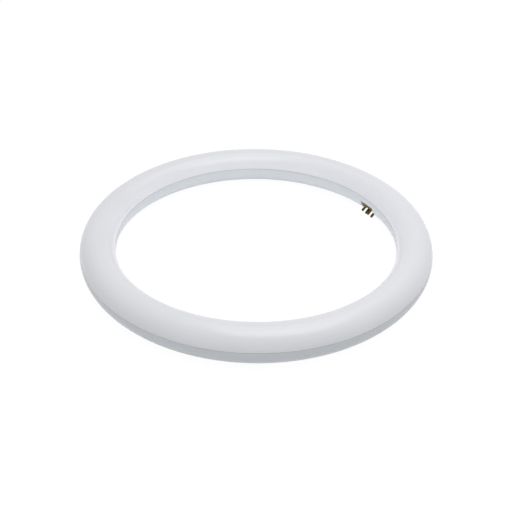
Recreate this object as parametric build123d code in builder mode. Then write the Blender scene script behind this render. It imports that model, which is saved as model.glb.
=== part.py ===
from build123d import *

import os
from math import cos, pi, radians, sin

# A circular LED tube: a closed ring of round section. A milky diffuser closes the upper part of the
# section, a white back housing the rest. A four-pin base points inwards and down at 45 degrees.
# The origin is the ring's centre, in the plane of the tube's own centreline. +Z goes up through
# the ring, away from the pins. The base is at +X. Angles round the ring are in degrees from +X.

# Ring and its section, in mm
RING_R = 135.0
TUBE_R = 15.0
WALL = 1.5

# Seam between the two shells, as heights over the centreline plane
SEAM_Z = 2.3
SEAM_GAP = 0.2
TONGUE_FOOT_Z = 1.0
TONGUE_INNER = 13.2
TONGUE_OUTER = 14.0
STEP_CLEARANCE = 0.1
RIM_ROUND = 0.2

# Shelves inside the housing that carry the lamp boards
SHELF_INNER = 9.6
SHELF_OUTER = 13.9
SHELF_T = 1.2
SHOULDER_INNER = 11.1

# Base: pocket, pin plate and pins, as heights from the section's centre along the pins
BASE_TILT = 45.0
POCKET_FLOOR = 12.5
POCKET_HALF = 8.6
PAD_BACK = 10.4
PAD_TOP = 14.0
PAD_WIDTH = 17.8
PAD_RIM = 1.6
PLATE_FACE = 13.7
PLATE_LENGTH = 13.4
PLATE_WIDTH = 11.8
PLATE_CORNER = 1.2
PLATE_FIT = 0.1
PLATE_EDGE = 0.3
FLANGE_BACK = 9.6
FLANGE_LENGTH = 16.4
FLANGE_WIDTH = 14.4
PIN_R = 1.15
PIN_SHANK_R = 0.8
PIN_TIP = 19.2
PIN_TAIL = 9.0
PIN_ROUND = 0.9
PIN_PITCH_ALONG = 7.93
PIN_PITCH_ACROSS = 6.35

# Lamp boards with their light sources
BOARDS = 4
BOARD_T = 1.0
BOARD_WIDTH = 22.0
BOARD_SPAN = 89.6
LEDS_PER_BOARD = 24
LED_STEP = 3.75
LED_LENGTH = 3.5
LED_WIDTH = 2.8
LED_H = 0.8
LINKS = 3
LINK_LENGTH = 9.0
LINK_WIDTH = 4.0
LINK_H = 1.6
LINK_OFFSET = 4.8

# Screws of the lamp boards
SCREW_OFFSET = 9.0
SCREW_ANGLE = 40.0
SCREW_R = 0.8
SCREW_LENGTH = 4.0
SCREW_HEAD_R = 1.6
SCREW_HEAD_H = 1.1
SCREW_HOLE_R = 1.0
PILOT_R = 0.85
BOSS_R = 2.1
BOSS_H = 4.6
RIB_T = 1.2

# Driver board, below the lamp boards beside the base
DRIVER_TOP = -7.6
DRIVER_T = 1.0
DRIVER_WIDTH = 17.0
DRIVER_START = 9.0
DRIVER_SPAN = 38.0
POST_R = 1.3
POST_OFFSET = 6.8
POST_FOOT = -12.4
POST_ANGLES = (15.0, 28.0, 43.0)
DRIVER_BOSS_FOOT = -14.2
DRIVER_BOSS_R = 2.0
DRIVER_SCREW_ANGLES = (10.2, 46.0)
DRIVER_SCREW_FLOOR = -13.0
FILM_T = 0.4
FILM_INNER = 126.2
FILM_OUTER = 141.4
FILM_START = 8.0
FILM_SPAN = 36.6

# Driver parts, as angle round the ring and offset from the centreline, with sizes in mm
FUSE_AT = (16.2, -5.6)
FUSE_R = 1.5
FUSE_LENGTH = 7.0
FUSE_LIFT = 2.1
LEG_R = 0.35
LEG_REACH = 1.0
VARISTOR_AT = (16.8, 4.6)
VARISTOR_R = 3.5
VARISTOR_H = 3.4
CHOKE_AT = (21.6, 3.6)
CHOKE_R = 3.4
CHOKE_WAIST_R = 2.7
CHOKE_H = 6.0
CHOKE_FLANGE_T = 1.2
FILM_CAPACITOR_AT = (25.4, -5.4)
FILM_CAPACITOR_SIZE = (4.6, 8.5, 6.2)
BODY_ROUND = 0.6
TRANSFORMER_AT = (33.4, 0.0)
CORE_WIDTH = 13.0
CORE_LENGTH = 11.0
CORE_H = 4.0
CORE_LEG = 3.0
WINDOW_WIDTH = 2.6
WINDOW_LENGTH = 6.0
COIL_WIDTH = 8.0
COIL_LENGTH = 5.8
COIL_H = 6.4
CAN_R = 3.15
CAN_ROUND = 0.4
CANS = (("input_capacitor", 27.4, 3.4, 11.0), ("output_capacitor", 41.6, 1.8, 9.0))
CHIP_LIFT = 0.1
CHIP_LEG_T = 0.25
CHIP_LEG_WIDTH = 0.5
CHIPS = (
    ("bridge_rectifier", 20.6, -5.2, 3.9, 4.7, 2.5, 2, 2.5),
    ("controller_chip", 38.4, -5.0, 3.9, 4.9, 1.5, 4, 1.27),
    ("output_diode", 37.4, 2.6, 2.6, 4.3, 2.1, 1, 0.0),
)
CHIP_PART_SIZE = (1.25, 2.0, 0.55)
CHIP_PARTS_AT = ((20.0, -2.0), (22.0, 2.0), (25.0, -2.0), (31.0, 2.0), (35.0, -2.0), (38.0, 2.0))

# Leads. An input lead leaves a pin's tail straight, rises to its own height over the base and comes
# down on the driver board. Route points are angle, offset and height.
INPUT_LEAD_R = 0.6
OUTPUT_LEAD_R = 0.5
LEAD_HOLE_R = 1.9
LEAD_HOLE_ANGLE = 49.4
LEAD_HOLE_OFFSET = -6.5
ARC_SHARE = 0.45
INPUT_ROUTES = (
    (4.9, ((6.0, -4.6, -1.5), (12.8, -3.4, -2.2), (12.8, -3.4, DRIVER_TOP))),
    (3.2, ((5.0, 2.4, -3.4), (12.8, 3.2, -3.0), (12.8, 3.2, DRIVER_TOP))),
    (6.6, ((7.0, -7.2, -3.2), (12.8, -6.6, -3.8), (12.8, -6.6, DRIVER_TOP))),
    (6.0, ((7.0, -0.6, -4.8), (12.8, 0.0, -3.8), (12.8, 0.0, DRIVER_TOP))),
)
OUTPUT_ROUTES = (
    ((45.4, -6.8, DRIVER_TOP), (45.4, -6.8, -3.4), (49.2, -7.3, -1.6), (49.6, -7.3, 3.0),
     (52.6, -7.3, 2.9), (52.6, -7.3, TONGUE_FOOT_Z)),
    ((45.4, -4.9, DRIVER_TOP), (45.4, -4.9, -3.4), (49.2, -5.7, -1.6), (49.6, -5.7, 3.0),
     (52.6, -5.7, 2.9), (52.6, -5.7, TONGUE_FOOT_Z)),
)

# Levels that follow
SHELF_TOP = TONGUE_FOOT_Z - BOARD_T
DRIVER_BOTTOM = DRIVER_TOP - DRIVER_T

os.makedirs("parts", exist_ok=True)


def save(part, name):
    """Label a finished piece and write its file."""
    part.label = name
    export_step(part, f"parts/{name}.step")


def base_plane(height):
    """Plane square to the pins; x runs along the ring, y outwards and down."""
    run_in = cos(radians(BASE_TILT))
    run_down = sin(radians(BASE_TILT))
    origin = (RING_R - height * run_in, 0, -height * run_down)
    return Plane(origin=origin, x_dir=(0, 1, 0), z_dir=(-run_in, 0, -run_down))


def ring_point(angle, offset, height):
    """Point beside the centreline: offset is outwards from it, height is upwards."""
    radius = RING_R + offset
    return Vector(radius * cos(radians(angle)), radius * sin(radians(angle)), height)


def ring_plane(angle, offset, height):
    """Level plane at a ring point; x runs outwards, y along the ring."""
    outwards = (cos(radians(angle)), sin(radians(angle)), 0)
    return Plane(origin=ring_point(angle, offset, height), x_dir=outwards, z_dir=(0, 0, 1))


def across_plane(angle, offset, height):
    """Upright plane square to the ring at a ring point; its normal runs along the ring."""
    outwards = (cos(radians(angle)), sin(radians(angle)), 0)
    along = (-sin(radians(angle)), cos(radians(angle)), 0)
    return Plane(origin=ring_point(angle, offset, height), x_dir=outwards, z_dir=along)


def strip(inner, outer, start, span):
    """Flat strip bent round the ring's axis."""
    with BuildSketch(mode=Mode.PRIVATE) as face:
        with BuildLine():
            near = CenterArc((0, 0), inner, start, span)
            far = CenterArc((0, 0), outer, start, span)
            Line(near @ 0, far @ 0)
            Line(near @ 1, far @ 1)
        make_face()
    return face.sketch


def pin_places():
    """Each pin's place across the base: along the ring, then outwards and down."""
    half_along = PIN_PITCH_ALONG / 2
    half_across = PIN_PITCH_ACROSS / 2
    return [(along, across) for along in (-half_along, half_along) for across in (-half_across, half_across)]


def board_middle(number):
    """Angle of the middle of a lamp board; the first one lies over the base."""
    return (number - 1) * 360 / BOARDS


def board_screw_angles():
    """Angles of the lamp boards' screws, two for each board."""
    return [board_middle(n) + side * SCREW_ANGLE for n in range(1, BOARDS + 1) for side in (-1, 1)]


# Diffuser: the upper shell, with a tongue round each rim
with BuildPart() as diffuser:
    with BuildSketch(Plane.XZ) as section:
        with Locations((RING_R, 0)):
            Circle(TUBE_R)
            Circle(TUBE_R - WALL, mode=Mode.SUBTRACT)
        with Locations((RING_R, SEAM_Z + SEAM_GAP)):
            Rectangle(2 * TUBE_R, 2 * TUBE_R, align=(Align.CENTER, Align.MAX), mode=Mode.SUBTRACT)
        outer_corners = section.vertices().group_by(Axis.Y)[0].sort_by(Axis.X)
        fillet([outer_corners[0], outer_corners[-1]], RIM_ROUND)
        tongue_mid = (TONGUE_INNER + TONGUE_OUTER) / 2
        tongue_h = SEAM_Z + 2 * SEAM_GAP - TONGUE_FOOT_Z
        with Locations((RING_R - tongue_mid, TONGUE_FOOT_Z), (RING_R + tongue_mid, TONGUE_FOOT_Z)):
            Rectangle(TONGUE_OUTER - TONGUE_INNER, tongue_h, align=(Align.CENTER, Align.MIN))
    revolve(axis=Axis.Z)
save(diffuser.part, "diffuser")


# Back housing: the lower shell with its shelves, bosses, posts and the pad of the base
with BuildPart() as back_housing:
    # Pad behind the pocket, cut to lie within the wall
    with BuildSketch(base_plane(PAD_BACK)):
        Rectangle(2 * (POCKET_HALF + PAD_RIM), PAD_WIDTH)
    extrude(amount=PAD_TOP - PAD_BACK)
    with BuildSketch(Plane.XZ):
        with Locations((RING_R, 0)):
            Circle(TUBE_R - WALL / 2)
    revolve(axis=Axis.Z, mode=Mode.INTERSECT)
    # Shell with the shelves and the step for the diffuser's tongue
    with BuildSketch(Plane.XZ) as section:
        with Locations((RING_R, 0)):
            Circle(TUBE_R)
            Circle(TUBE_R - WALL, mode=Mode.SUBTRACT)
        shelf_mid = (SHELF_INNER + SHELF_OUTER) / 2
        shoulder_mid = (SHOULDER_INNER + SHELF_OUTER) / 2
        with Locations((RING_R - shelf_mid, SHELF_TOP), (RING_R + shelf_mid, SHELF_TOP)):
            Rectangle(SHELF_OUTER - SHELF_INNER, SHELF_T, align=(Align.CENTER, Align.MAX))
        with Locations((RING_R - shoulder_mid, TONGUE_FOOT_Z), (RING_R + shoulder_mid, TONGUE_FOOT_Z)):
            Rectangle(SHELF_OUTER - SHOULDER_INNER, BOARD_T + SHELF_T, align=(Align.CENTER, Align.MAX))
        with Locations((RING_R, SEAM_Z)):
            Rectangle(2 * TUBE_R, TUBE_R, align=(Align.CENTER, Align.MIN), mode=Mode.SUBTRACT)
        outer_corners = section.vertices().group_by(Axis.Y)[-1].sort_by(Axis.X)
        fillet([outer_corners[0], outer_corners[-1]], RIM_ROUND)
        with Locations((RING_R, TONGUE_FOOT_Z)):
            Rectangle(2 * (TONGUE_OUTER + STEP_CLEARANCE), TUBE_R,
                      align=(Align.CENTER, Align.MIN), mode=Mode.SUBTRACT)
    revolve(axis=Axis.Z)
    # Bosses of the lamp boards, each with a rib to the wall
    for angle in board_screw_angles():
        with BuildSketch(ring_plane(angle, SCREW_OFFSET, SHELF_TOP)):
            Circle(BOSS_R)
            Rectangle(SHELF_OUTER - SCREW_OFFSET, RIB_T, align=(Align.MIN, Align.CENTER))
        extrude(amount=-BOSS_H)
        with BuildSketch(ring_plane(angle, SCREW_OFFSET, SHELF_TOP)):
            Circle(PILOT_R)
        extrude(amount=-SCREW_LENGTH, mode=Mode.SUBTRACT)
    # Posts and bosses under the driver board
    for angle in POST_ANGLES:
        for side in (-1, 1):
            with BuildSketch(ring_plane(angle, side * POST_OFFSET, POST_FOOT)):
                Circle(POST_R)
            extrude(amount=DRIVER_BOTTOM - POST_FOOT)
    for angle in DRIVER_SCREW_ANGLES:
        with BuildSketch(ring_plane(angle, 0, DRIVER_BOSS_FOOT)):
            Circle(DRIVER_BOSS_R)
        extrude(amount=DRIVER_BOTTOM - DRIVER_BOSS_FOOT)
        with BuildSketch(ring_plane(angle, 0, DRIVER_SCREW_FLOOR)):
            Circle(PILOT_R)
        extrude(amount=DRIVER_BOTTOM - DRIVER_SCREW_FLOOR, mode=Mode.SUBTRACT)
    # Pocket and the window for the pin plate
    with BuildSketch(base_plane(POCKET_FLOOR)):
        Rectangle(2 * POCKET_HALF, 2 * TUBE_R)
    extrude(amount=TUBE_R, mode=Mode.SUBTRACT)
    with BuildSketch(base_plane(PAD_BACK)):
        RectangleRounded(PLATE_LENGTH + 2 * PLATE_FIT, PLATE_WIDTH + 2 * PLATE_FIT, PLATE_CORNER)
    extrude(amount=PAD_TOP - PAD_BACK, mode=Mode.SUBTRACT)
save(back_housing.part, "back_housing")


# Pin plate: a moulded block with a flange behind the pad
with BuildPart() as pin_plate:
    with BuildSketch(base_plane(PAD_BACK)):
        RectangleRounded(PLATE_LENGTH, PLATE_WIDTH, PLATE_CORNER)
    extrude(amount=PLATE_FACE - PAD_BACK)
    face_edges = pin_plate.faces().sort_by(Axis(base_plane(0).origin, base_plane(0).z_dir))[-1].edges()
    chamfer(face_edges, PLATE_EDGE)
    with BuildSketch(base_plane(FLANGE_BACK)):
        RectangleRounded(FLANGE_LENGTH, FLANGE_WIDTH, PLATE_CORNER)
    extrude(amount=PAD_BACK - FLANGE_BACK)
    with BuildSketch(base_plane(FLANGE_BACK)):
        with GridLocations(PIN_PITCH_ALONG, PIN_PITCH_ACROSS, 2, 2):
            Circle(PIN_SHANK_R)
    extrude(amount=PLATE_FACE - FLANGE_BACK, mode=Mode.SUBTRACT)
save(pin_plate.part, "pin_plate")


# Pins: a thinner shank through the plate and a rounded free end
for number, place in enumerate(pin_places(), start=1):
    with BuildPart() as pin:
        with BuildSketch(base_plane(PLATE_FACE)):
            with Locations(place):
                Circle(PIN_R)
        extrude(amount=PIN_TIP - PLATE_FACE)
        tip = pin.faces().sort_by(Axis(base_plane(0).origin, base_plane(0).z_dir))[-1]
        fillet(tip.edges(), PIN_ROUND)
        with BuildSketch(base_plane(PIN_TAIL)):
            with Locations(place):
                Circle(PIN_SHANK_R)
        extrude(amount=PLATE_FACE - PIN_TAIL)
    save(pin.part, f"pin_{number}")


# Lamp boards: four curved strips on the shelves, the second with a hole for the output leads
for number in range(1, BOARDS + 1):
    with BuildPart() as led_board:
        with BuildSketch(Plane.XY.offset(SHELF_TOP)):
            inner = RING_R - BOARD_WIDTH / 2
            add(strip(inner, inner + BOARD_WIDTH, board_middle(number) - BOARD_SPAN / 2, BOARD_SPAN))
            with PolarLocations(RING_R + SCREW_OFFSET, 2, board_middle(number) - SCREW_ANGLE,
                                2 * SCREW_ANGLE, endpoint=True):
                Circle(SCREW_HOLE_R, mode=Mode.SUBTRACT)
            if number == 2:
                with PolarLocations(RING_R + LEAD_HOLE_OFFSET, 1, LEAD_HOLE_ANGLE):
                    Circle(LEAD_HOLE_R, mode=Mode.SUBTRACT)
        extrude(amount=BOARD_T)
    save(led_board.part, f"led_board_{number}")

for number in range(1, BOARDS + 1):
    with BuildPart() as leds:
        row_span = (LEDS_PER_BOARD - 1) * LED_STEP
        first = board_middle(number) - row_span / 2
        with BuildSketch(Plane.XY.offset(TONGUE_FOOT_Z)):
            with PolarLocations(RING_R, LEDS_PER_BOARD, first, row_span, endpoint=True):
                Rectangle(LED_WIDTH, LED_LENGTH)
        extrude(amount=LED_H)
    save(leds.part, f"leds_{number}")

# Board links: flat connectors over three of the four joints between the boards
for number in range(1, LINKS + 1):
    with BuildPart() as board_link:
        joint_angle = board_middle(number) + 180 / BOARDS
        with BuildSketch(ring_plane(joint_angle, LINK_OFFSET, TONGUE_FOOT_Z)):
            Rectangle(LINK_WIDTH, LINK_LENGTH)
        extrude(amount=LINK_H)
        chamfer(board_link.faces().sort_by(Axis.Z)[-1].edges(), PLATE_EDGE)
    save(board_link.part, f"board_link_{number}")


# Screws: one node for the lamp boards' screws and one for the driver board's
with BuildPart() as board_screws:
    for angle in board_screw_angles():
        with BuildSketch(ring_plane(angle, SCREW_OFFSET, TONGUE_FOOT_Z)):
            Circle(SCREW_HEAD_R)
        extrude(amount=SCREW_HEAD_H)
        with BuildSketch(ring_plane(angle, SCREW_OFFSET, TONGUE_FOOT_Z)):
            Circle(SCREW_R)
        extrude(amount=-SCREW_LENGTH)
save(board_screws.part, "board_screws")

with BuildPart() as driver_screws:
    for angle in DRIVER_SCREW_ANGLES:
        with BuildSketch(ring_plane(angle, 0, DRIVER_TOP)):
            Circle(SCREW_HEAD_R)
        extrude(amount=SCREW_HEAD_H)
        with BuildSketch(ring_plane(angle, 0, DRIVER_TOP)):
            Circle(SCREW_R)
        extrude(amount=-SCREW_LENGTH)
save(driver_screws.part, "driver_screws")


# Driver board: a curved board on posts
with BuildPart() as driver_board:
    with BuildSketch(Plane.XY.offset(DRIVER_BOTTOM)):
        inner = RING_R - DRIVER_WIDTH / 2
        add(strip(inner, inner + DRIVER_WIDTH, DRIVER_START, DRIVER_SPAN))
        for angle in DRIVER_SCREW_ANGLES:
            with PolarLocations(RING_R, 1, angle):
                Circle(SCREW_HOLE_R, mode=Mode.SUBTRACT)
    extrude(amount=DRIVER_T)
save(driver_board.part, "driver_board")

# Insulating film: glued under the first lamp board, over the driver
with BuildPart() as insulating_film:
    with BuildSketch(Plane.XY.offset(SHELF_TOP)):
        add(strip(FILM_INNER, FILM_OUTER, FILM_START, FILM_SPAN))
    extrude(amount=-FILM_T)
save(insulating_film.part, "insulating_film")


# Fuse resistor: a lying rod body on two bent legs
with BuildPart() as fuse_resistor:
    with BuildSketch(across_plane(*FUSE_AT, DRIVER_TOP + FUSE_LIFT)):
        Circle(FUSE_R)
    extrude(amount=FUSE_LENGTH / 2, both=True)
    with BuildSketch(across_plane(*FUSE_AT, DRIVER_TOP + FUSE_LIFT)):
        Circle(LEG_R)
    extrude(amount=FUSE_LENGTH / 2 + LEG_REACH, both=True)
    with BuildSketch(ring_plane(*FUSE_AT, DRIVER_TOP)):
        with GridLocations(1, FUSE_LENGTH + 2 * LEG_REACH, 1, 2):
            Circle(LEG_R)
    extrude(amount=FUSE_LIFT)
save(fuse_resistor.part, "fuse_resistor")

# Varistor: a coated disc lying on the board
with BuildPart() as varistor:
    with BuildSketch(ring_plane(*VARISTOR_AT, DRIVER_TOP)):
        Circle(VARISTOR_R)
    extrude(amount=VARISTOR_H)
    fillet(varistor.faces().sort_by(Axis.Z)[-1].edges(), BODY_ROUND)
save(varistor.part, "varistor")

# Input choke: a drum with two flanges
with BuildPart() as input_choke:
    with BuildSketch(ring_plane(*CHOKE_AT, DRIVER_TOP)):
        Circle(CHOKE_WAIST_R)
    extrude(amount=CHOKE_H)
    for foot in (0, CHOKE_H - CHOKE_FLANGE_T):
        with BuildSketch(ring_plane(*CHOKE_AT, DRIVER_TOP + foot)):
            Circle(CHOKE_R)
        extrude(amount=CHOKE_FLANGE_T)
save(input_choke.part, "input_choke")

# Film capacitor: a moulded block
with BuildPart() as film_capacitor:
    with BuildSketch(ring_plane(*FILM_CAPACITOR_AT, DRIVER_TOP)):
        Rectangle(FILM_CAPACITOR_SIZE[0], FILM_CAPACITOR_SIZE[1])
    extrude(amount=FILM_CAPACITOR_SIZE[2])
    fillet(film_capacitor.faces().sort_by(Axis.Z)[-1].edges(), BODY_ROUND)
save(film_capacitor.part, "film_capacitor")

# Transformer: a flat core with two windows, and the coil round its middle leg
with BuildPart() as transformer_core:
    with BuildSketch(ring_plane(*TRANSFORMER_AT, DRIVER_TOP + (COIL_H - CORE_H) / 2)):
        Rectangle(CORE_WIDTH, CORE_LENGTH)
        with GridLocations(CORE_LEG + WINDOW_WIDTH, 1, 2, 1):
            Rectangle(WINDOW_WIDTH, WINDOW_LENGTH, mode=Mode.SUBTRACT)
    extrude(amount=CORE_H)
save(transformer_core.part, "transformer_core")

with BuildPart() as transformer_coil:
    with BuildSketch(across_plane(*TRANSFORMER_AT, DRIVER_TOP + COIL_H / 2)):
        Rectangle(COIL_WIDTH, COIL_H)
        Rectangle(CORE_LEG, CORE_H, mode=Mode.SUBTRACT)
    extrude(amount=COIL_LENGTH / 2, both=True)
save(transformer_coil.part, "transformer_coil")

# Electrolytic capacitors: cans lying along the ring, two legs at one end
for name, angle, offset, length in CANS:
    with BuildPart() as can:
        with BuildSketch(across_plane(angle, offset, DRIVER_TOP + CAN_R)):
            Circle(CAN_R)
        extrude(amount=length / 2, both=True)
        fillet(can.edges().filter_by(GeomType.CIRCLE), CAN_ROUND)
        with BuildSketch(across_plane(angle, offset, DRIVER_TOP + CAN_R)):
            with GridLocations(CAN_R, 1, 2, 1):
                Circle(LEG_R)
        extrude(amount=-length / 2 - LEG_REACH)
        with BuildSketch(ring_plane(angle, offset, DRIVER_TOP)):
            with Locations((0, -length / 2 - LEG_REACH)):
                with GridLocations(CAN_R, 1, 2, 1):
                    Circle(LEG_R)
        extrude(amount=CAN_R)
    save(can.part, name)

# Moulded chips with flat legs on both sides
for name, angle, offset, width, length, height, legs, pitch in CHIPS:
    with BuildPart() as chip:
        with BuildSketch(ring_plane(angle, offset, DRIVER_TOP + CHIP_LIFT)):
            Rectangle(width, length)
        extrude(amount=height)
        with BuildSketch(ring_plane(angle, offset, DRIVER_TOP)):
            with GridLocations(1, pitch, 1, legs):
                Rectangle(width + 2 * LEG_REACH, CHIP_LEG_WIDTH)
        extrude(amount=CHIP_LEG_T)
    save(chip.part, name)

# Small chip parts on the underside of the driver board
with BuildPart() as chip_parts:
    for place in CHIP_PARTS_AT:
        with BuildSketch(ring_plane(*place, DRIVER_BOTTOM)):
            Rectangle(CHIP_PART_SIZE[0], CHIP_PART_SIZE[1])
        extrude(amount=-CHIP_PART_SIZE[2])
save(chip_parts.part, "chip_parts")


def corner_radii(points):
    """Largest even arcs for a route: a share of the shorter run at each corner."""
    radii = []
    for before, corner, after in zip(points, points[1:], points[2:]):
        run_in = corner - before
        run_out = after - corner
        half_turn = radians(run_in.get_angle(run_out) / 2)
        shorter = min(run_in.length, run_out.length)
        radii.append(ARC_SHARE * shorter * cos(half_turn) / sin(half_turn))
    return radii


def lead_routes():
    """Name, wire radius and corner points of every lead."""
    routes = []
    for number, (place, (rise, points)) in enumerate(zip(pin_places(), INPUT_ROUTES), start=1):
        tail = base_plane(PIN_TAIL).from_local_coords((*place, 0))
        top = base_plane(rise).from_local_coords((*place, 0))
        corners = [tail, top] + [ring_point(*point) for point in points]
        routes.append((f"input_lead_{number}", INPUT_LEAD_R, corners))
    for number, points in enumerate(OUTPUT_ROUTES, start=1):
        corners = [ring_point(*point) for point in points]
        routes.append((f"output_lead_{number}", OUTPUT_LEAD_R, corners))
    return routes


for name, wire_r, corners in lead_routes():
    radii = corner_radii(corners)
    with BuildPart() as lead:
        with BuildLine() as route:
            FilletPolyline(*corners, radius=radii)
        with BuildSketch(Plane(origin=route.line @ 0, z_dir=route.line % 0)):
            Circle(wire_r)
        sweep()
    length = route.wire().length
    share = lead.part.volume / (pi * wire_r ** 2 * length)
    print(name, f"length {length:.1f} mm, volume share {share:.3f}, radii", [round(r, 1) for r in radii])
    save(lead.part, name)
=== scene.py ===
"""Looks of the ring lamp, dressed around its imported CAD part, in metres."""

import math

import bmesh
import bpy
from mathutils import Matrix, Vector


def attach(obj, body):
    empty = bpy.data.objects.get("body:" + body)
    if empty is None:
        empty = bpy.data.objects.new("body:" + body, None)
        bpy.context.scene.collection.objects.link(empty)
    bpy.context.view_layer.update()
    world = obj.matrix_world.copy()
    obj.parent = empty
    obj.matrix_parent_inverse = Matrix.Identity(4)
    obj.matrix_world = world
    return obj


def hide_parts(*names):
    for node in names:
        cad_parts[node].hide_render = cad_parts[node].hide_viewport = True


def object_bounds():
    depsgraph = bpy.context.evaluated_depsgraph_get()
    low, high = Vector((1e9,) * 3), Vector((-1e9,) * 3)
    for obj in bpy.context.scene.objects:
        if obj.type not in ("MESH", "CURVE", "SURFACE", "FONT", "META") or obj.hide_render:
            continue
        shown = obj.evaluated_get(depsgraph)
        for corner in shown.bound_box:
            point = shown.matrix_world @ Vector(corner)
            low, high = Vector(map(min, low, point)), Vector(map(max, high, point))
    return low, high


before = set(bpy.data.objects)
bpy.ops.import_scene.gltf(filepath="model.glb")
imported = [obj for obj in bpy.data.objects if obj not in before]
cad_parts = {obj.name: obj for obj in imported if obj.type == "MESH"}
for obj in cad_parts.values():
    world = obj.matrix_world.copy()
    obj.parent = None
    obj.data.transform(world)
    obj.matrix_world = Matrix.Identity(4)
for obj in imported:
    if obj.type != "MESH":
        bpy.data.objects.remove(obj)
cad_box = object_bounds()

# The photograph is taken across the ring, and the base stands this far round it from the camera's right
BASE_ANGLE = math.radians(31.75)
CAMERA_DISTANCE = 0.69131
CAMERA_ELEVATION = math.radians(33.819)
CAMERA_ROLL = math.radians(0.495)
CAMERA_AIM = (-0.0001, -0.025679, 0.0)
LENS_MM = 56.243

FLOOR_Z = cad_box[0][2]

# The ring and its section, as in the CAD part, in mm
RING_R = 135.0
TUBE_R = 15.0
WALL = 1.5
SEAM_Z = 2.3
SEAM_GAP = 0.2
TONGUE_FOOT_Z = 1.0
TONGUE_INNER = 13.2
TONGUE_OUTER = 14.0
STEP_CLEARANCE = 0.1
RIM_ROUND = 0.2
SHELF_INNER = 9.6
SHELF_BOTTOM = -1.2
SHOULDER_INNER = 11.1
BASE_TILT = math.radians(45)
POCKET_FLOOR = 12.5
POCKET_HALF = 8.6
PAD_BACK = 10.4
PAD_TOP = 14.0
PAD_WIDTH = 17.8
PAD_RIM = 1.6
WINDOW_LENGTH = 13.6
WINDOW_WIDTH = 12.0
WINDOW_CORNER = 1.2

# What stands inside the housing, as in the CAD part: angles from the middle of a lamp board or from
# the base, offsets from the ring's centreline, and heights in mm
BOSS_ANGLE = 40
BOSS_OFFSET = 9.0
BOSS_R = 2.1
BOSS_FOOT = -4.6
PILOT_R = 0.85
PILOT_FOOT = -4.0
RIB_OFFSET = 12.1
RIB_LENGTH = 3.4
RIB_T = 1.2
RIB_TOP = -0.6
POST_ANGLES = (15, 28, 43)
POST_OFFSET = 6.8
POST_R = 1.3
POST_FOOT = -12.4
DRIVER_BOTTOM = -8.6
DRIVER_SCREW_ANGLES = (10.2, 46.0)
DRIVER_BOSS_R = 2.0
DRIVER_BOSS_FOOT = -14.2
DRIVER_PILOT_FOOT = -13.0

# Facets round the ring, and the angle at which an edge starts to look sharp
STEPS_ROUND = 480
SHARP_ANGLE = math.radians(28)
MM = 0.001

# Edges shorter than this, in metres, are closed up in the finished shells
SLIVER = 0.000002

# Light sources stand this many degrees apart round the ring
LED_STEP = 3.75

# The floor's half width, and how far above it the lamps lie that stand in for light off the table
FLOOR_HALF = 4.0
TABLE_LIFT = 0.0003


def turned(x, y, z):
    """A point given as the camera sees the ring, with the camera on -Y, in the part's frame."""
    return Matrix.Rotation(-BASE_ANGLE, 4, "Z") @ Vector((x, y, z))


def add_camera():
    """The camera at the photograph's angle."""
    back = CAMERA_DISTANCE * math.cos(CAMERA_ELEVATION)
    place = turned(0, -back, CAMERA_DISTANCE * math.sin(CAMERA_ELEVATION))
    forward = (turned(*CAMERA_AIM) - place).normalized()
    right = forward.cross(Vector((0, 0, 1))).normalized()
    up = right.cross(forward)
    level = Matrix((right, up, -forward)).transposed().to_4x4()
    data = bpy.data.cameras.new("camera")
    data.lens = LENS_MM
    data.sensor_width = 36
    data.clip_start = 0.01
    camera = bpy.data.objects.new("camera", data)
    camera.matrix_world = Matrix.Translation(place) @ level @ Matrix.Rotation(CAMERA_ROLL, 4, "Z")
    bpy.context.scene.collection.objects.link(camera)
    bpy.context.scene.camera = camera


# Shells


def arc(radius, start, end, step=2.0, middle=(0.0, 0.0)):
    """Points of a section on a circle, angles in degrees from straight outwards."""
    count = max(2, round(abs(end - start) / step))
    angles = [math.radians(start + (end - start) * i / count) for i in range(count + 1)]
    return [(middle[0] + radius * math.cos(a), middle[1] + radius * math.sin(a)) for a in angles]


def mirrored(points):
    """The same points on the other side of the section's upright line, in reverse order."""
    return [(-x, z) for x, z in reversed(points)]


def supported_arc(start, end, step):
    """The tube's outer circle, with a close pair of points at each end so that it shades evenly."""
    close = math.copysign(0.8, end - start)
    middle = arc(TUBE_R, start + close, end - close, step)
    return [arc(TUBE_R, start, end)[0]] + middle + [arc(TUBE_R, start, end)[-1]]


def diffuser_outline():
    """Section of the upper shell with its tongue on each rim."""
    rim = SEAM_Z + SEAM_GAP
    round_z = rim + RIM_ROUND
    round_x = math.sqrt((TUBE_R - RIM_ROUND) ** 2 - round_z ** 2)
    touch = math.degrees(math.atan2(round_z, round_x))
    inner_r = TUBE_R - WALL
    root = math.degrees(math.acos(TONGUE_INNER / inner_r))
    side = [(TONGUE_INNER, TONGUE_FOOT_Z), (TONGUE_OUTER, TONGUE_FOOT_Z), (TONGUE_OUTER, rim)]
    side += arc(RIM_ROUND, -90, touch, 20, (round_x, round_z))[:-1]
    outside = supported_arc(touch, 180 - touch, 2.0)
    return side + outside + mirrored(side) + arc(inner_r, 180 - root, root, 3.0)


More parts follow.
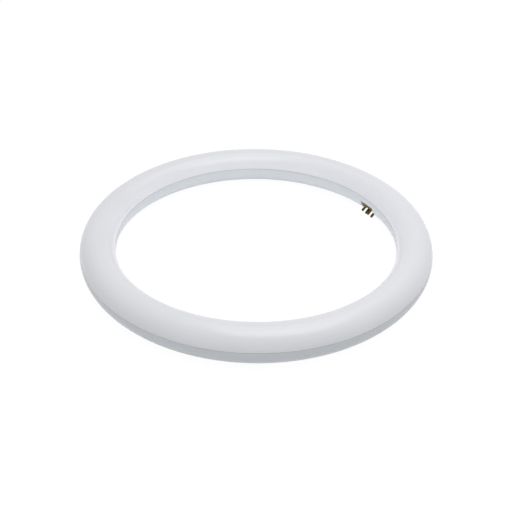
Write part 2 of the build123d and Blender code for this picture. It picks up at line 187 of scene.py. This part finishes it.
def housing_outline():
    """Section of the lower shell with its lips, shoulders and shelves."""
    round_z = SEAM_Z - RIM_ROUND
    round_x = math.sqrt((TUBE_R - RIM_ROUND) ** 2 - round_z ** 2)
    touch = math.degrees(math.atan2(round_z, round_x))
    inner_r = TUBE_R - WALL
    under = math.degrees(math.asin(SHELF_BOTTOM / inner_r))
    step = TONGUE_OUTER + STEP_CLEARANCE
    side = [(SHELF_INNER, SHELF_BOTTOM), (SHELF_INNER, 0), (SHOULDER_INNER, 0)]
    side += [(SHOULDER_INNER, TONGUE_FOOT_Z), (step, TONGUE_FOOT_Z), (step, SEAM_Z)]
    side += arc(RIM_ROUND, 90, touch, 20, (round_x, round_z))[:-1]
    outside = supported_arc(touch, -180 - touch, 2.0)
    return side + outside + mirrored(side) + arc(inner_r, -180 - under, under, 3.0)


def new_piece(name, bm):
    """Object from a bmesh in millimetres, with doubled points merged, faces turned outwards and scaled to
    metres.
    """
    bmesh.ops.remove_doubles(bm, verts=bm.verts, dist=0.0005)
    bmesh.ops.recalc_face_normals(bm, faces=bm.faces)
    bmesh.ops.scale(bm, vec=(MM, MM, MM), verts=bm.verts)
    mesh = bpy.data.meshes.new(name)
    bm.to_mesh(mesh)
    bm.free()
    piece = bpy.data.objects.new(name, mesh)
    bpy.context.scene.collection.objects.link(piece)
    return piece


def revolved(outline, steps):
    """The outline turned once round the ring's axis."""
    bm = bmesh.new()
    rows = []
    for i in range(steps):
        a = 2 * math.pi * i / steps
        c, s = math.cos(a), math.sin(a)
        rows.append([bm.verts.new(((RING_R + x) * c, (RING_R + x) * s, z)) for x, z in outline])
    for i in range(steps):
        here, there = rows[i], rows[(i + 1) % steps]
        for j in range(len(outline)):
            k = (j + 1) % len(outline)
            bm.faces.new((here[j], here[k], there[k], there[j]))
    return bm


def prism(bm, corners, low, high, place):
    """Upright block over a flat outline, set in place by a matrix."""
    floor = [bm.verts.new(place @ Vector((x, y, low))) for x, y in corners]
    roof = [bm.verts.new(place @ Vector((x, y, high))) for x, y in corners]
    bm.faces.new(floor[::-1])
    bm.faces.new(roof)
    for i in range(len(corners)):
        k = (i + 1) % len(corners)
        bm.faces.new((floor[i], floor[k], roof[k], roof[i]))


def base_frame():
    """Matrix with x along the ring, y outwards and down, z out along the pins."""
    away = Vector((-math.cos(BASE_TILT), 0, -math.sin(BASE_TILT)))
    along = Vector((0, 1, 0))
    turn = Matrix((along, away.cross(along), away)).transposed().to_4x4()
    return Matrix.Translation((RING_R, 0, 0)) @ turn


def rounded_box(length, width, corner):
    """Outline of a rectangle with round corners."""
    points = []
    for sx, sy, start in ((1, 1, 0), (-1, 1, 90), (-1, -1, 180), (1, -1, 270)):
        middle = (sx * (length / 2 - corner), sy * (width / 2 - corner))
        points += arc(corner, start, start + 90, 15, middle)
    return points


def plain_box(length, width):
    """Outline of a rectangle."""
    x, y = length / 2, width / 2
    return [(x, y), (-x, y), (-x, -y), (x, -y)]


def combined(piece, tool, operation):
    """Cuts, joins or crosses one closed piece with another, which is used up."""
    step = piece.modifiers.new("step", "BOOLEAN")
    step.operation = operation
    step.solver = "EXACT"
    step.object = tool
    graph = bpy.context.evaluated_depsgraph_get()
    mesh = bpy.data.meshes.new_from_object(piece.evaluated_get(graph))
    piece.modifiers.clear()
    old = piece.data
    piece.data = mesh
    bpy.data.meshes.remove(old)
    bpy.data.meshes.remove(tool.data)
    return piece


def block(name, outline, low, high):
    """Closed block over the base."""
    bm = bmesh.new()
    prism(bm, outline, low, high, base_frame())
    return new_piece(name, bm)


def ring_place(angle, offset):
    """Matrix of a place round the ring, with x outwards."""
    return Matrix.Rotation(math.radians(angle), 4, "Z") @ Matrix.Translation((RING_R + offset, 0, 0))


def post(bm, angle, offset, radius, low, high):
    """Round upright bar at a place round the ring."""
    prism(bm, arc(radius, 0, 360, 15)[:-1], low, high, ring_place(angle, offset))


def finish_shell(piece, surface, node):
    """Clears a shell of slivers, shades and dresses it, and puts it in the CAD node's place."""
    bm = bmesh.new()
    bm.from_mesh(piece.data)
    bmesh.ops.dissolve_degenerate(bm, edges=bm.edges, dist=SLIVER)
    bm.to_mesh(piece.data)
    bm.free()
    piece.data.shade_smooth()
    piece.data.set_sharp_from_angle(angle=SHARP_ANGLE)
    piece.data.materials.clear()
    piece.data.materials.append(surface.mat)
    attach(piece, "root")
    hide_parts(node)


def add_diffuser(surface):
    """Upper shell, with many more facets than its CAD node."""
    piece = new_piece("diffuser_shell", revolved(diffuser_outline(), STEPS_ROUND))
    finish_shell(piece, surface, "diffuser")


def add_housing(surface):
    """Lower shell with the pocket of the base, and the bosses and posts inside."""
    pad = block("pad", plain_box(2 * (POCKET_HALF + PAD_RIM), PAD_WIDTH), PAD_BACK, PAD_TOP)
    within = new_piece("within", revolved(arc(TUBE_R - WALL / 2, 0, 360, 4.0)[:-1], STEPS_ROUND))
    combined(pad, within, "INTERSECT")
    piece = new_piece("housing_shell", revolved(housing_outline(), STEPS_ROUND))
    combined(piece, pad, "UNION")
    pocket = plain_box(2 * POCKET_HALF, 2 * TUBE_R)
    combined(piece, block("pocket", pocket, POCKET_FLOOR, 2 * TUBE_R), "DIFFERENCE")
    window = rounded_box(WINDOW_LENGTH, WINDOW_WIDTH, WINDOW_CORNER)
    combined(piece, block("window", window, PAD_BACK - 1, PAD_TOP), "DIFFERENCE")

    # Ribs and solid posts are joined on first and the pilot holes cut last, so that nothing closes them
    ribs, posts, pilots = bmesh.new(), bmesh.new(), bmesh.new()
    for middle in (0, 90, 180, 270):
        for angle in (middle - BOSS_ANGLE, middle + BOSS_ANGLE):
            post(posts, angle, BOSS_OFFSET, BOSS_R, BOSS_FOOT, 0)
            post(pilots, angle, BOSS_OFFSET, PILOT_R, PILOT_FOOT, 1)
            place = ring_place(angle, RIB_OFFSET)
            prism(ribs, plain_box(RIB_LENGTH, RIB_T), BOSS_FOOT, RIB_TOP, place)
    for angle in POST_ANGLES:
        for side in (-1, 1):
            post(posts, angle, side * POST_OFFSET, POST_R, POST_FOOT, DRIVER_BOTTOM)
    for angle in DRIVER_SCREW_ANGLES:
        post(posts, angle, 0, DRIVER_BOSS_R, DRIVER_BOSS_FOOT, DRIVER_BOTTOM)
        post(pilots, angle, 0, PILOT_R, DRIVER_PILOT_FOOT, DRIVER_BOTTOM + 1)
    combined(piece, new_piece("ribs", ribs), "UNION")
    combined(piece, new_piece("posts", posts), "UNION")
    combined(piece, new_piece("pilots", pilots), "DIFFERENCE")
    finish_shell(piece, surface, "back_housing")


# Materials


class Surface:
    """One procedural material, with a short call for each kind of node."""

    def __init__(self, name, **sockets):
        self.mat = bpy.data.materials.new(name)
        self.mat.use_nodes = True
        self.nodes = self.mat.node_tree.nodes
        self.shader = self.nodes["Principled BSDF"]
        self.here = self.nodes.new("ShaderNodeTexCoord").outputs["Object"]
        self.normal = None
        for socket, value in sockets.items():
            self.set(socket.replace("_", " "), value)

    def link(self, value, socket):
        """Puts a number, a colour or another node's output on a socket."""
        if isinstance(value, bpy.types.NodeSocket):
            self.mat.node_tree.links.new(value, socket)
        elif isinstance(value, tuple) and len(value) == 3 and socket.type == "RGBA":
            socket.default_value = (*value, 1)
        else:
            socket.default_value = value

    def set(self, socket, value):
        """Sets one socket of the shader."""
        self.link(value, self.shader.inputs[socket])

    def noise(self, scale, detail=3, rough=0.5, at=None):
        """Noise with features of about a metre over scale."""
        node = self.nodes.new("ShaderNodeTexNoise")
        self.link(at or self.here, node.inputs["Vector"])
        node.inputs["Scale"].default_value = scale
        node.inputs["Detail"].default_value = detail
        node.inputs["Roughness"].default_value = rough
        return node.outputs["Fac"]

    def cell_edges(self, scale):
        """Distance to the nearest edge between cells round scattered points."""
        node = self.nodes.new("ShaderNodeTexVoronoi")
        node.feature = "DISTANCE_TO_EDGE"
        self.link(self.here, node.inputs["Vector"])
        node.inputs["Scale"].default_value = scale
        return node.outputs["Distance"]

    def waves(self, scale, direction, distortion=0.0):
        """Even stripes."""
        node = self.nodes.new("ShaderNodeTexWave")
        node.bands_direction = direction
        self.link(self.here, node.inputs["Vector"])
        node.inputs["Scale"].default_value = scale
        node.inputs["Distortion"].default_value = distortion
        return node.outputs["Fac"]

    def math(self, operation, a, b=0.0):
        """One step of arithmetic."""
        node = self.nodes.new("ShaderNodeMath")
        node.operation = operation
        for value, socket in zip((a, b), node.inputs):
            self.link(value, socket)
        return node.outputs["Value"]

    def span(self, value, low, high, to_low=0.0, to_high=1.0):
        """A value stretched from one range to another, and held inside it."""
        node = self.nodes.new("ShaderNodeMapRange")
        self.link(value, node.inputs["Value"])
        for socket, number in zip(("From Min", "From Max", "To Min", "To Max"), (low, high, to_low, to_high)):
            node.inputs[socket].default_value = number
        return node.outputs["Result"]

    def blend(self, share, a, b):
        """One colour passing into another."""
        node = self.nodes.new("ShaderNodeMix")
        node.data_type = "RGBA"
        colours = [socket for socket in node.inputs if socket.type == "RGBA"]
        self.link(share, node.inputs["Factor"])
        self.link(a, colours[0])
        self.link(b, colours[1])
        return [socket for socket in node.outputs if socket.type == "RGBA"][0]

    def parts(self, vector):
        """The three numbers of a vector."""
        node = self.nodes.new("ShaderNodeSeparateXYZ")
        self.link(vector, node.inputs["Vector"])
        return node.outputs["X"], node.outputs["Y"], node.outputs["Z"]

    def round_ring(self):
        """Place round the ring: distance from its axis in mm, and angle in degrees."""
        x, y, _ = self.parts(self.here)
        square = self.math("ADD", self.math("MULTIPLY", x, x), self.math("MULTIPLY", y, y))
        angle = self.math("DEGREES", self.math("ARCTAN2", y, x))
        return self.math("DIVIDE", self.math("SQRT", square), MM), angle

    def facing_up(self):
        """1 on faces that look straight up or down, 0 on upright ones."""
        node = self.nodes.new("ShaderNodeNewGeometry")
        return self.math("ABSOLUTE", self.parts(node.outputs["True Normal"])[2])

    def stretched(self, x, y, z):
        """The place with each axis scaled, so that what is drawn there is longer along the smaller ones."""
        node = self.nodes.new("ShaderNodeMapping")
        self.link(self.here, node.inputs["Vector"])
        node.inputs["Scale"].default_value = (x, y, z)
        return node.outputs["Vector"]

    def bump(self, height, depth):
        """Relief of that depth in metres, added to what is there."""
        node = self.nodes.new("ShaderNodeBump")
        node.inputs["Distance"].default_value = depth
        self.link(height, node.inputs["Height"])
        if self.normal is not None:
            self.link(self.normal, node.inputs["Normal"])
        self.normal = node.outputs["Normal"]
        self.set("Normal", self.normal)


def milky_plastic():
    """Diffuser: satin opal plastic, faintly cloudy."""
    s = Surface("milky_plastic", IOR=1.49)
    cloud = s.noise(22, 2)
    s.set("Base Color", s.blend(s.span(cloud, 0.35, 0.65), (0.785, 0.793, 0.830), (0.797, 0.805, 0.842)))
    s.set("Roughness", s.span(s.noise(90, 4), 0.3, 0.7, 0.21, 0.26))
    s.bump(s.noise(700, 1), 0.000003)
    return s


def housing_plastic():
    """Back housing: white moulded plastic, a little greyer than the diffuser."""
    s = Surface("housing_plastic", IOR=1.5)
    cloud = s.noise(30, 2)
    s.set("Base Color", s.blend(s.span(cloud, 0.35, 0.65), (0.636, 0.667, 0.702), (0.648, 0.679, 0.714)))
    s.set("Roughness", s.span(s.noise(120, 4), 0.3, 0.7, 0.30, 0.42))
    s.bump(s.noise(1900, 3), 0.000010)
    return s


def brown_phenolic():
    """Pin plate: brown moulded resin with pale filler flecks."""
    s = Surface("brown_phenolic", IOR=1.5)
    flecks = s.span(s.noise(1500, 3, 0.7), 0.52, 0.72)
    s.set("Base Color", s.blend(flecks, (0.150, 0.100, 0.052), (0.300, 0.240, 0.160)))
    s.set("Roughness", s.span(s.noise(900, 3), 0.3, 0.7, 0.38, 0.55))
    s.bump(s.noise(2200, 3), 0.00002)
    return s


def turned_brass():
    """Contact pins: turned brass, tarnished dark with brighter worn patches."""
    s = Surface("turned_brass", Metallic=1.0, Specular_Tint=(0.25, 0.22, 0.15))
    worn = s.span(s.noise(600, 4, 0.6), 0.45, 0.68)
    s.set("Base Color", s.blend(worn, (0.055, 0.038, 0.010), (0.300, 0.205, 0.070)))
    s.set("Roughness", s.span(worn, 0.0, 1.0, 0.42, 0.29))
    s.bump(s.noise(1, 2, at=s.stretched(900, 900, 2400)), 0.000006)
    return s


def moulded(name, dark, light, smooth, rough, grain=1500, depth=0.00001, patches=60):
    """Plain moulded, dipped or pressed stuff: cloudy colour, uneven gloss and a fine grain."""
    s = Surface(name)
    s.set("Base Color", s.blend(s.span(s.noise(patches, 3), 0.35, 0.65), dark, light))
    s.set("Roughness", s.span(s.noise(patches * 4, 4), 0.3, 0.7, smooth, rough))
    s.bump(s.noise(grain, 3), depth)
    return s


def lamp_board_mask():
    """Lamp boards: white solder mask over two copper tracks, bare aluminium at the edges."""
    s = Surface("lamp_board_mask")
    reach, _ = s.round_ring()
    across = s.math("ABSOLUTE", s.math("SUBTRACT", reach, RING_R))
    off_track = s.math("ABSOLUTE", s.math("SUBTRACT", across, 4.6))
    track = s.span(off_track, 1.9, 2.1, 1.0, 0.0)
    mask = s.blend(track, (0.86, 0.86, 0.83), (0.80, 0.79, 0.74))
    flat = s.span(s.facing_up(), 0.4, 0.6)
    s.set("Base Color", s.blend(flat, (0.70, 0.71, 0.72), mask))
    s.set("Metallic", s.math("SUBTRACT", 1.0, flat))
    s.set("Roughness", s.span(s.noise(300, 3), 0.3, 0.7, 0.38, 0.5))
    s.bump(track, 0.00004)
    s.bump(s.noise(1800, 2), 0.000006)
    return s


def light_sources():
    """Light sources: white cases, each with a yellow phosphor window in its top."""
    s = Surface("light_source_case")
    reach, angle = s.round_ring()
    across = s.math("ABSOLUTE", s.math("SUBTRACT", reach, RING_R))
    count = s.math("ADD", s.math("DIVIDE", angle, LED_STEP), 360 / LED_STEP)
    off_middle = s.math("SUBTRACT", s.math("FRACT", count), 0.5)
    along = s.math("MULTIPLY", s.math("ABSOLUTE", off_middle), math.radians(LED_STEP) * RING_R)
    inside = s.math("MULTIPLY", s.span(across, 1.05, 1.15, 1.0, 0.0), s.span(along, 1.35, 1.45, 1.0, 0.0))
    window = s.math("MULTIPLY", inside, s.span(s.facing_up(), 0.4, 0.6))
    phosphor = s.blend(s.noise(2500, 3), (0.86, 0.66, 0.10), (0.92, 0.76, 0.22))
    s.set("Base Color", s.blend(window, (0.86, 0.86, 0.84), phosphor))
    s.set("Roughness", s.span(window, 0.0, 1.0, 0.35, 0.55))
    s.bump(window, -0.00006)
    s.bump(s.noise(2600, 2), 0.000006)
    return s


def driver_laminate():
    """Driver board: green solder mask over a glass weave, with tracks showing through."""
    s = Surface("driver_laminate")
    tracks = s.span(s.cell_edges(380), 0.10, 0.13, 1.0, 0.0)
    weave = s.math("MULTIPLY", s.waves(500, "X"), s.waves(500, "Y"))
    mask = s.blend(tracks, (0.020, 0.130, 0.050), (0.045, 0.230, 0.090))
    flat = s.span(s.facing_up(), 0.4, 0.6)
    s.set("Base Color", s.blend(flat, (0.42, 0.40, 0.22), mask))
    s.set("Roughness", s.span(flat, 0.0, 1.0, 0.8, 0.3))
    s.bump(tracks, 0.00003)
    s.bump(weave, 0.000008)
    return s


def zinc_screws(name, turn, middle, half, offset):
    """Screws: zinc plate with a cross recess in each head, the recess painted near black as painted shade.

    The heads stand in pairs, one pair in every turn of so many degrees, each head half the pair's
    spacing from its middle, and offset from the ring's centreline.
    """
    s = Surface(name, Metallic=1.0)
    reach, angle = s.round_ring()
    count = s.math("ADD", s.math("DIVIDE", angle, turn), 4.0)
    fold = s.math("MULTIPLY", s.math("FRACT", count), turn)
    off = s.math("SUBTRACT", s.math("ABSOLUTE", s.math("SUBTRACT", fold, middle)), half)
    along = s.math("ABSOLUTE", s.math("MULTIPLY", off, math.radians(1) * (RING_R + offset)))
    across = s.math("ABSOLUTE", s.math("SUBTRACT", reach, RING_R + offset))
    slot = s.span(s.math("MINIMUM", along, across), 0.20, 0.26, 1.0, 0.0)
    short = s.span(s.math("MAXIMUM", along, across), 0.95, 1.05, 1.0, 0.0)
    cross = s.math("MULTIPLY", s.math("MULTIPLY", slot, short), s.span(s.facing_up(), 0.4, 0.6))
    plate = s.blend(s.span(s.noise(500, 3), 0.35, 0.65), (0.60, 0.61, 0.63), (0.74, 0.74, 0.74))
    # Painted shade: the cross recess is coloured near black, standing in for the shade inside it
    s.set("Base Color", s.blend(cross, plate, (0.10, 0.10, 0.10)))
    s.set("Roughness", s.span(s.noise(900, 3), 0.3, 0.7, 0.29, 0.42))
    s.bump(cross, -0.0002)
    return s


def wound_tape():
    """Transformer coil: yellow tape with its edges and turns showing."""
    s = Surface("wound_tape")
    wraps = s.waves(110, "Z", distortion=0.6)
    s.set("Base Color", s.blend(s.span(wraps, 0.9, 1.0), (0.78, 0.58, 0.08), (0.60, 0.42, 0.05)))
    s.set("Roughness", s.span(s.noise(300, 4), 0.3, 0.7, 0.28, 0.45))
    s.bump(wraps, 0.00003)
    s.bump(s.noise(900, 3), 0.00002)
    return s


def insulation(name, dark, light):
    """Lead insulation: smooth, with fine die lines."""
    s = moulded(name, dark, light, 0.32, 0.45, grain=900, depth=0.000008, patches=150)
    s.bump(s.noise(1, 3, at=s.stretched(300, 300, 3000)), 0.000008)
    return s


def dress(surface, *names):
    """Gives a material to CAD nodes."""
    for name in names:
        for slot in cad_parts[name].material_slots:
            slot.material = surface.mat


def numbered(stem, count):
    """Names of a row of like nodes."""
    return [f"{stem}_{i}" for i in range(1, count + 1)]


def dress_inner_pieces():
    """Materials of everything inside the shells."""
    dress(lamp_board_mask(), *numbered("led_board", 4))
    dress(light_sources(), *numbered("leds", 4))
    nylon = moulded("link_nylon", (0.70, 0.69, 0.62), (0.78, 0.77, 0.71), 0.4, 0.55)
    dress(nylon, *numbered("board_link", 3))
    dress(zinc_screws("board_zinc", 90.0, 45.0, 5.0, BOSS_OFFSET), "board_screws")
    dress(zinc_screws("driver_zinc", 360.0, 28.1, 17.9, 0.0), "driver_screws")
    dress(driver_laminate(), "driver_board")
    film = moulded("amber_film", (0.52, 0.22, 0.02), (0.62, 0.30, 0.03), 0.12, 0.2, 200, 0.00003, 40)
    dress(film, "insulating_film")
    fuse = moulded("fuse_coating", (0.07, 0.19, 0.13), (0.10, 0.25, 0.18), 0.35, 0.5, 1200, 0.00003)
    dress(fuse, "fuse_resistor")
    disc = moulded("varistor_coating", (0.010, 0.04, 0.22), (0.016, 0.06, 0.30), 0.29, 0.42, 700, 0.00005)
    dress(disc, "varistor")
    sleeve = moulded("shrink_sleeve", (0.012, 0.012, 0.012), (0.022, 0.022, 0.022), 0.3, 0.5, 500, 0.00005)
    dress(sleeve, "input_choke")
    case = moulded("film_case", (0.36, 0.035, 0.015), (0.46, 0.055, 0.020), 0.29, 0.42, 1600, 0.00001)
    dress(case, "film_capacitor")
    ferrite = moulded("ferrite", (0.018, 0.018, 0.020), (0.032, 0.032, 0.034), 0.6, 0.8, 2600, 0.00003)
    dress(ferrite, "transformer_core")
    dress(wound_tape(), "transformer_coil")
    cans = moulded("can_sleeve", (0.006, 0.008, 0.022), (0.012, 0.014, 0.034), 0.29, 0.38, 300, 0.00003)
    dress(cans, "input_capacitor", "output_capacitor")
    epoxy = moulded("chip_epoxy", (0.010, 0.010, 0.010), (0.018, 0.018, 0.018), 0.55, 0.7, 3000, 0.00002)
    dress(epoxy, "bridge_rectifier", "controller_chip", "output_diode", "chip_parts")
    dress(insulation("white_wire", (0.66, 0.66, 0.63), (0.73, 0.73, 0.70)), *numbered("input_lead", 4))
    dress(insulation("red_wire", (0.36, 0.008, 0.006), (0.44, 0.014, 0.010)), "output_lead_1")
    dress(insulation("black_wire", (0.008, 0.008, 0.008), (0.016, 0.016, 0.016)), "output_lead_2")


# Studio


def add_area(name, place, aim, size_x, size_y, radiance, shape="RECTANGLE", in_reflections=True):
    """A soft lamp that faces a point; both places are given as the camera sees the ring."""
    data = bpy.data.lights.new(name, "AREA")
    data.shape = shape
    data.size = size_x
    data.size_y = size_y
    full = math.pi / 4 if shape == "DISK" else 1
    data.energy = radiance * math.pi * full * size_x * size_y
    lamp = bpy.data.objects.new(name, data)
    start = turned(*place)
    way = (turned(*aim) - start).normalized()
    across = turned(1, 0, 0)
    facing = Matrix((across, across.cross(way), -way)).transposed().to_4x4()
    lamp.matrix_world = Matrix.Translation(start) @ facing
    lamp.visible_camera = False
    lamp.visible_glossy = in_reflections
    lamp.visible_transmission = in_reflections
    bpy.context.scene.collection.objects.link(lamp)


def add_lamps():
    """Two soft lamps overhead, and three weak ones for light off the table and from the side.

    The weak ones aren't shown in reflections, so that these keep the white floor and surroundings.
    """
    table_z = FLOOR_Z + TABLE_LIFT
    add_area("overhead", (0.14, -0.12, 0.76), (0.14, -0.12, 0), 0.60, 0.52, 2.25)
    add_area("overhead_back", (0.12, 0.38, 0.76), (0.12, 0.38, 0), 0.60, 0.46, 1.00)
    add_area("front_left", (-0.40, -0.65, 0.20), (-0.07, -0.10, 0), 0.70, 0.30, 0.36, in_reflections=False)
    add_area("table_inside", (0, 0, table_z), (0, 0, 1), 0.236, 0.236, 0.52, "DISK", in_reflections=False)
    add_area("table_behind", (0, 0.40, table_z), (0, 0.40, 1), 0.80, 0.48, 0.50, in_reflections=False)


def seen_share(nodes, links, *rays):
    """1 for the named kinds of ray, 0 for others."""
    path = nodes.new("ShaderNodeLightPath")
    share = path.outputs[rays[0]]
    for ray in rays[1:]:
        most = nodes.new("ShaderNodeMath")
        most.operation = "MAXIMUM"
        links.new(share, most.inputs[0])
        links.new(path.outputs[ray], most.inputs[1])
        share = most.outputs["Value"]
    return share


def add_world():
    """Even pale surroundings, plain white where the camera or a reflection sees them."""
    world = bpy.data.worlds.new("studio")
    bpy.context.scene.world = world
    world.use_nodes = True
    nodes, links = world.node_tree.nodes, world.node_tree.links
    around = nodes["Background"]
    around.inputs["Color"].default_value = (0.52, 0.52, 0.52, 1)
    white = nodes.new("ShaderNodeBackground")
    white.inputs["Color"].default_value = (1, 1, 1, 1)
    mix = nodes.new("ShaderNodeMixShader")
    seen = seen_share(nodes, links, "Is Camera Ray", "Is Glossy Ray", "Is Transmission Ray")
    links.new(seen, mix.inputs["Fac"])
    links.new(around.outputs["Background"], mix.inputs[1])
    links.new(white.outputs["Background"], mix.inputs[2])
    links.new(mix.outputs["Shader"], nodes["World Output"].inputs["Surface"])


def add_floor():
    """White floor that keeps the object's shadow, and is clear from below to show the underside."""
    mesh = bpy.data.meshes.new("floor")
    half = FLOOR_HALF
    corners = [(-half, -half, 0), (half, -half, 0), (half, half, 0), (-half, half, 0)]
    mesh.from_pydata(corners, [], [(0, 1, 2, 3)])
    floor = bpy.data.objects.new("floor", mesh)
    floor.location.z = FLOOR_Z
    bpy.context.scene.collection.objects.link(floor)
    mat = bpy.data.materials.new("floor_white")
    mat.use_nodes = True
    nodes, links = mat.node_tree.nodes, mat.node_tree.links
    nodes.clear()
    out = nodes.new("ShaderNodeOutputMaterial")
    bounce = nodes.new("ShaderNodeBsdfDiffuse")
    bounce.inputs["Color"].default_value = (0.80, 0.80, 0.80, 1)
    faint = nodes.new("ShaderNodeBsdfDiffuse")
    faint.inputs["Color"].default_value = (0.10, 0.10, 0.10, 1)
    glow = nodes.new("ShaderNodeEmission")
    glow.inputs["Strength"].default_value = 0.95
    white = nodes.new("ShaderNodeAddShader")
    links.new(faint.outputs[0], white.inputs[0])
    links.new(glow.outputs[0], white.inputs[1])
    top = nodes.new("ShaderNodeMixShader")
    seen = seen_share(nodes, links, "Is Camera Ray", "Is Glossy Ray", "Is Transmission Ray")
    links.new(seen, top.inputs[0])
    links.new(bounce.outputs[0], top.inputs[1])
    links.new(white.outputs[0], top.inputs[2])
    clear = nodes.new("ShaderNodeBsdfTransparent")
    side = nodes.new("ShaderNodeNewGeometry")
    both = nodes.new("ShaderNodeMixShader")
    links.new(side.outputs["Backfacing"], both.inputs[0])
    links.new(top.outputs[0], both.inputs[1])
    links.new(clear.outputs[0], both.inputs[2])
    links.new(both.outputs[0], out.inputs["Surface"])
    mesh.materials.append(mat)


add_diffuser(milky_plastic())
add_housing(housing_plastic())
dress(brown_phenolic(), "pin_plate")
dress(turned_brass(), *numbered("pin", 4))
dress_inner_pieces()

add_camera()
add_lamps()
add_world()
add_floor()
bpy.context.scene.view_settings.view_transform = "Standard"
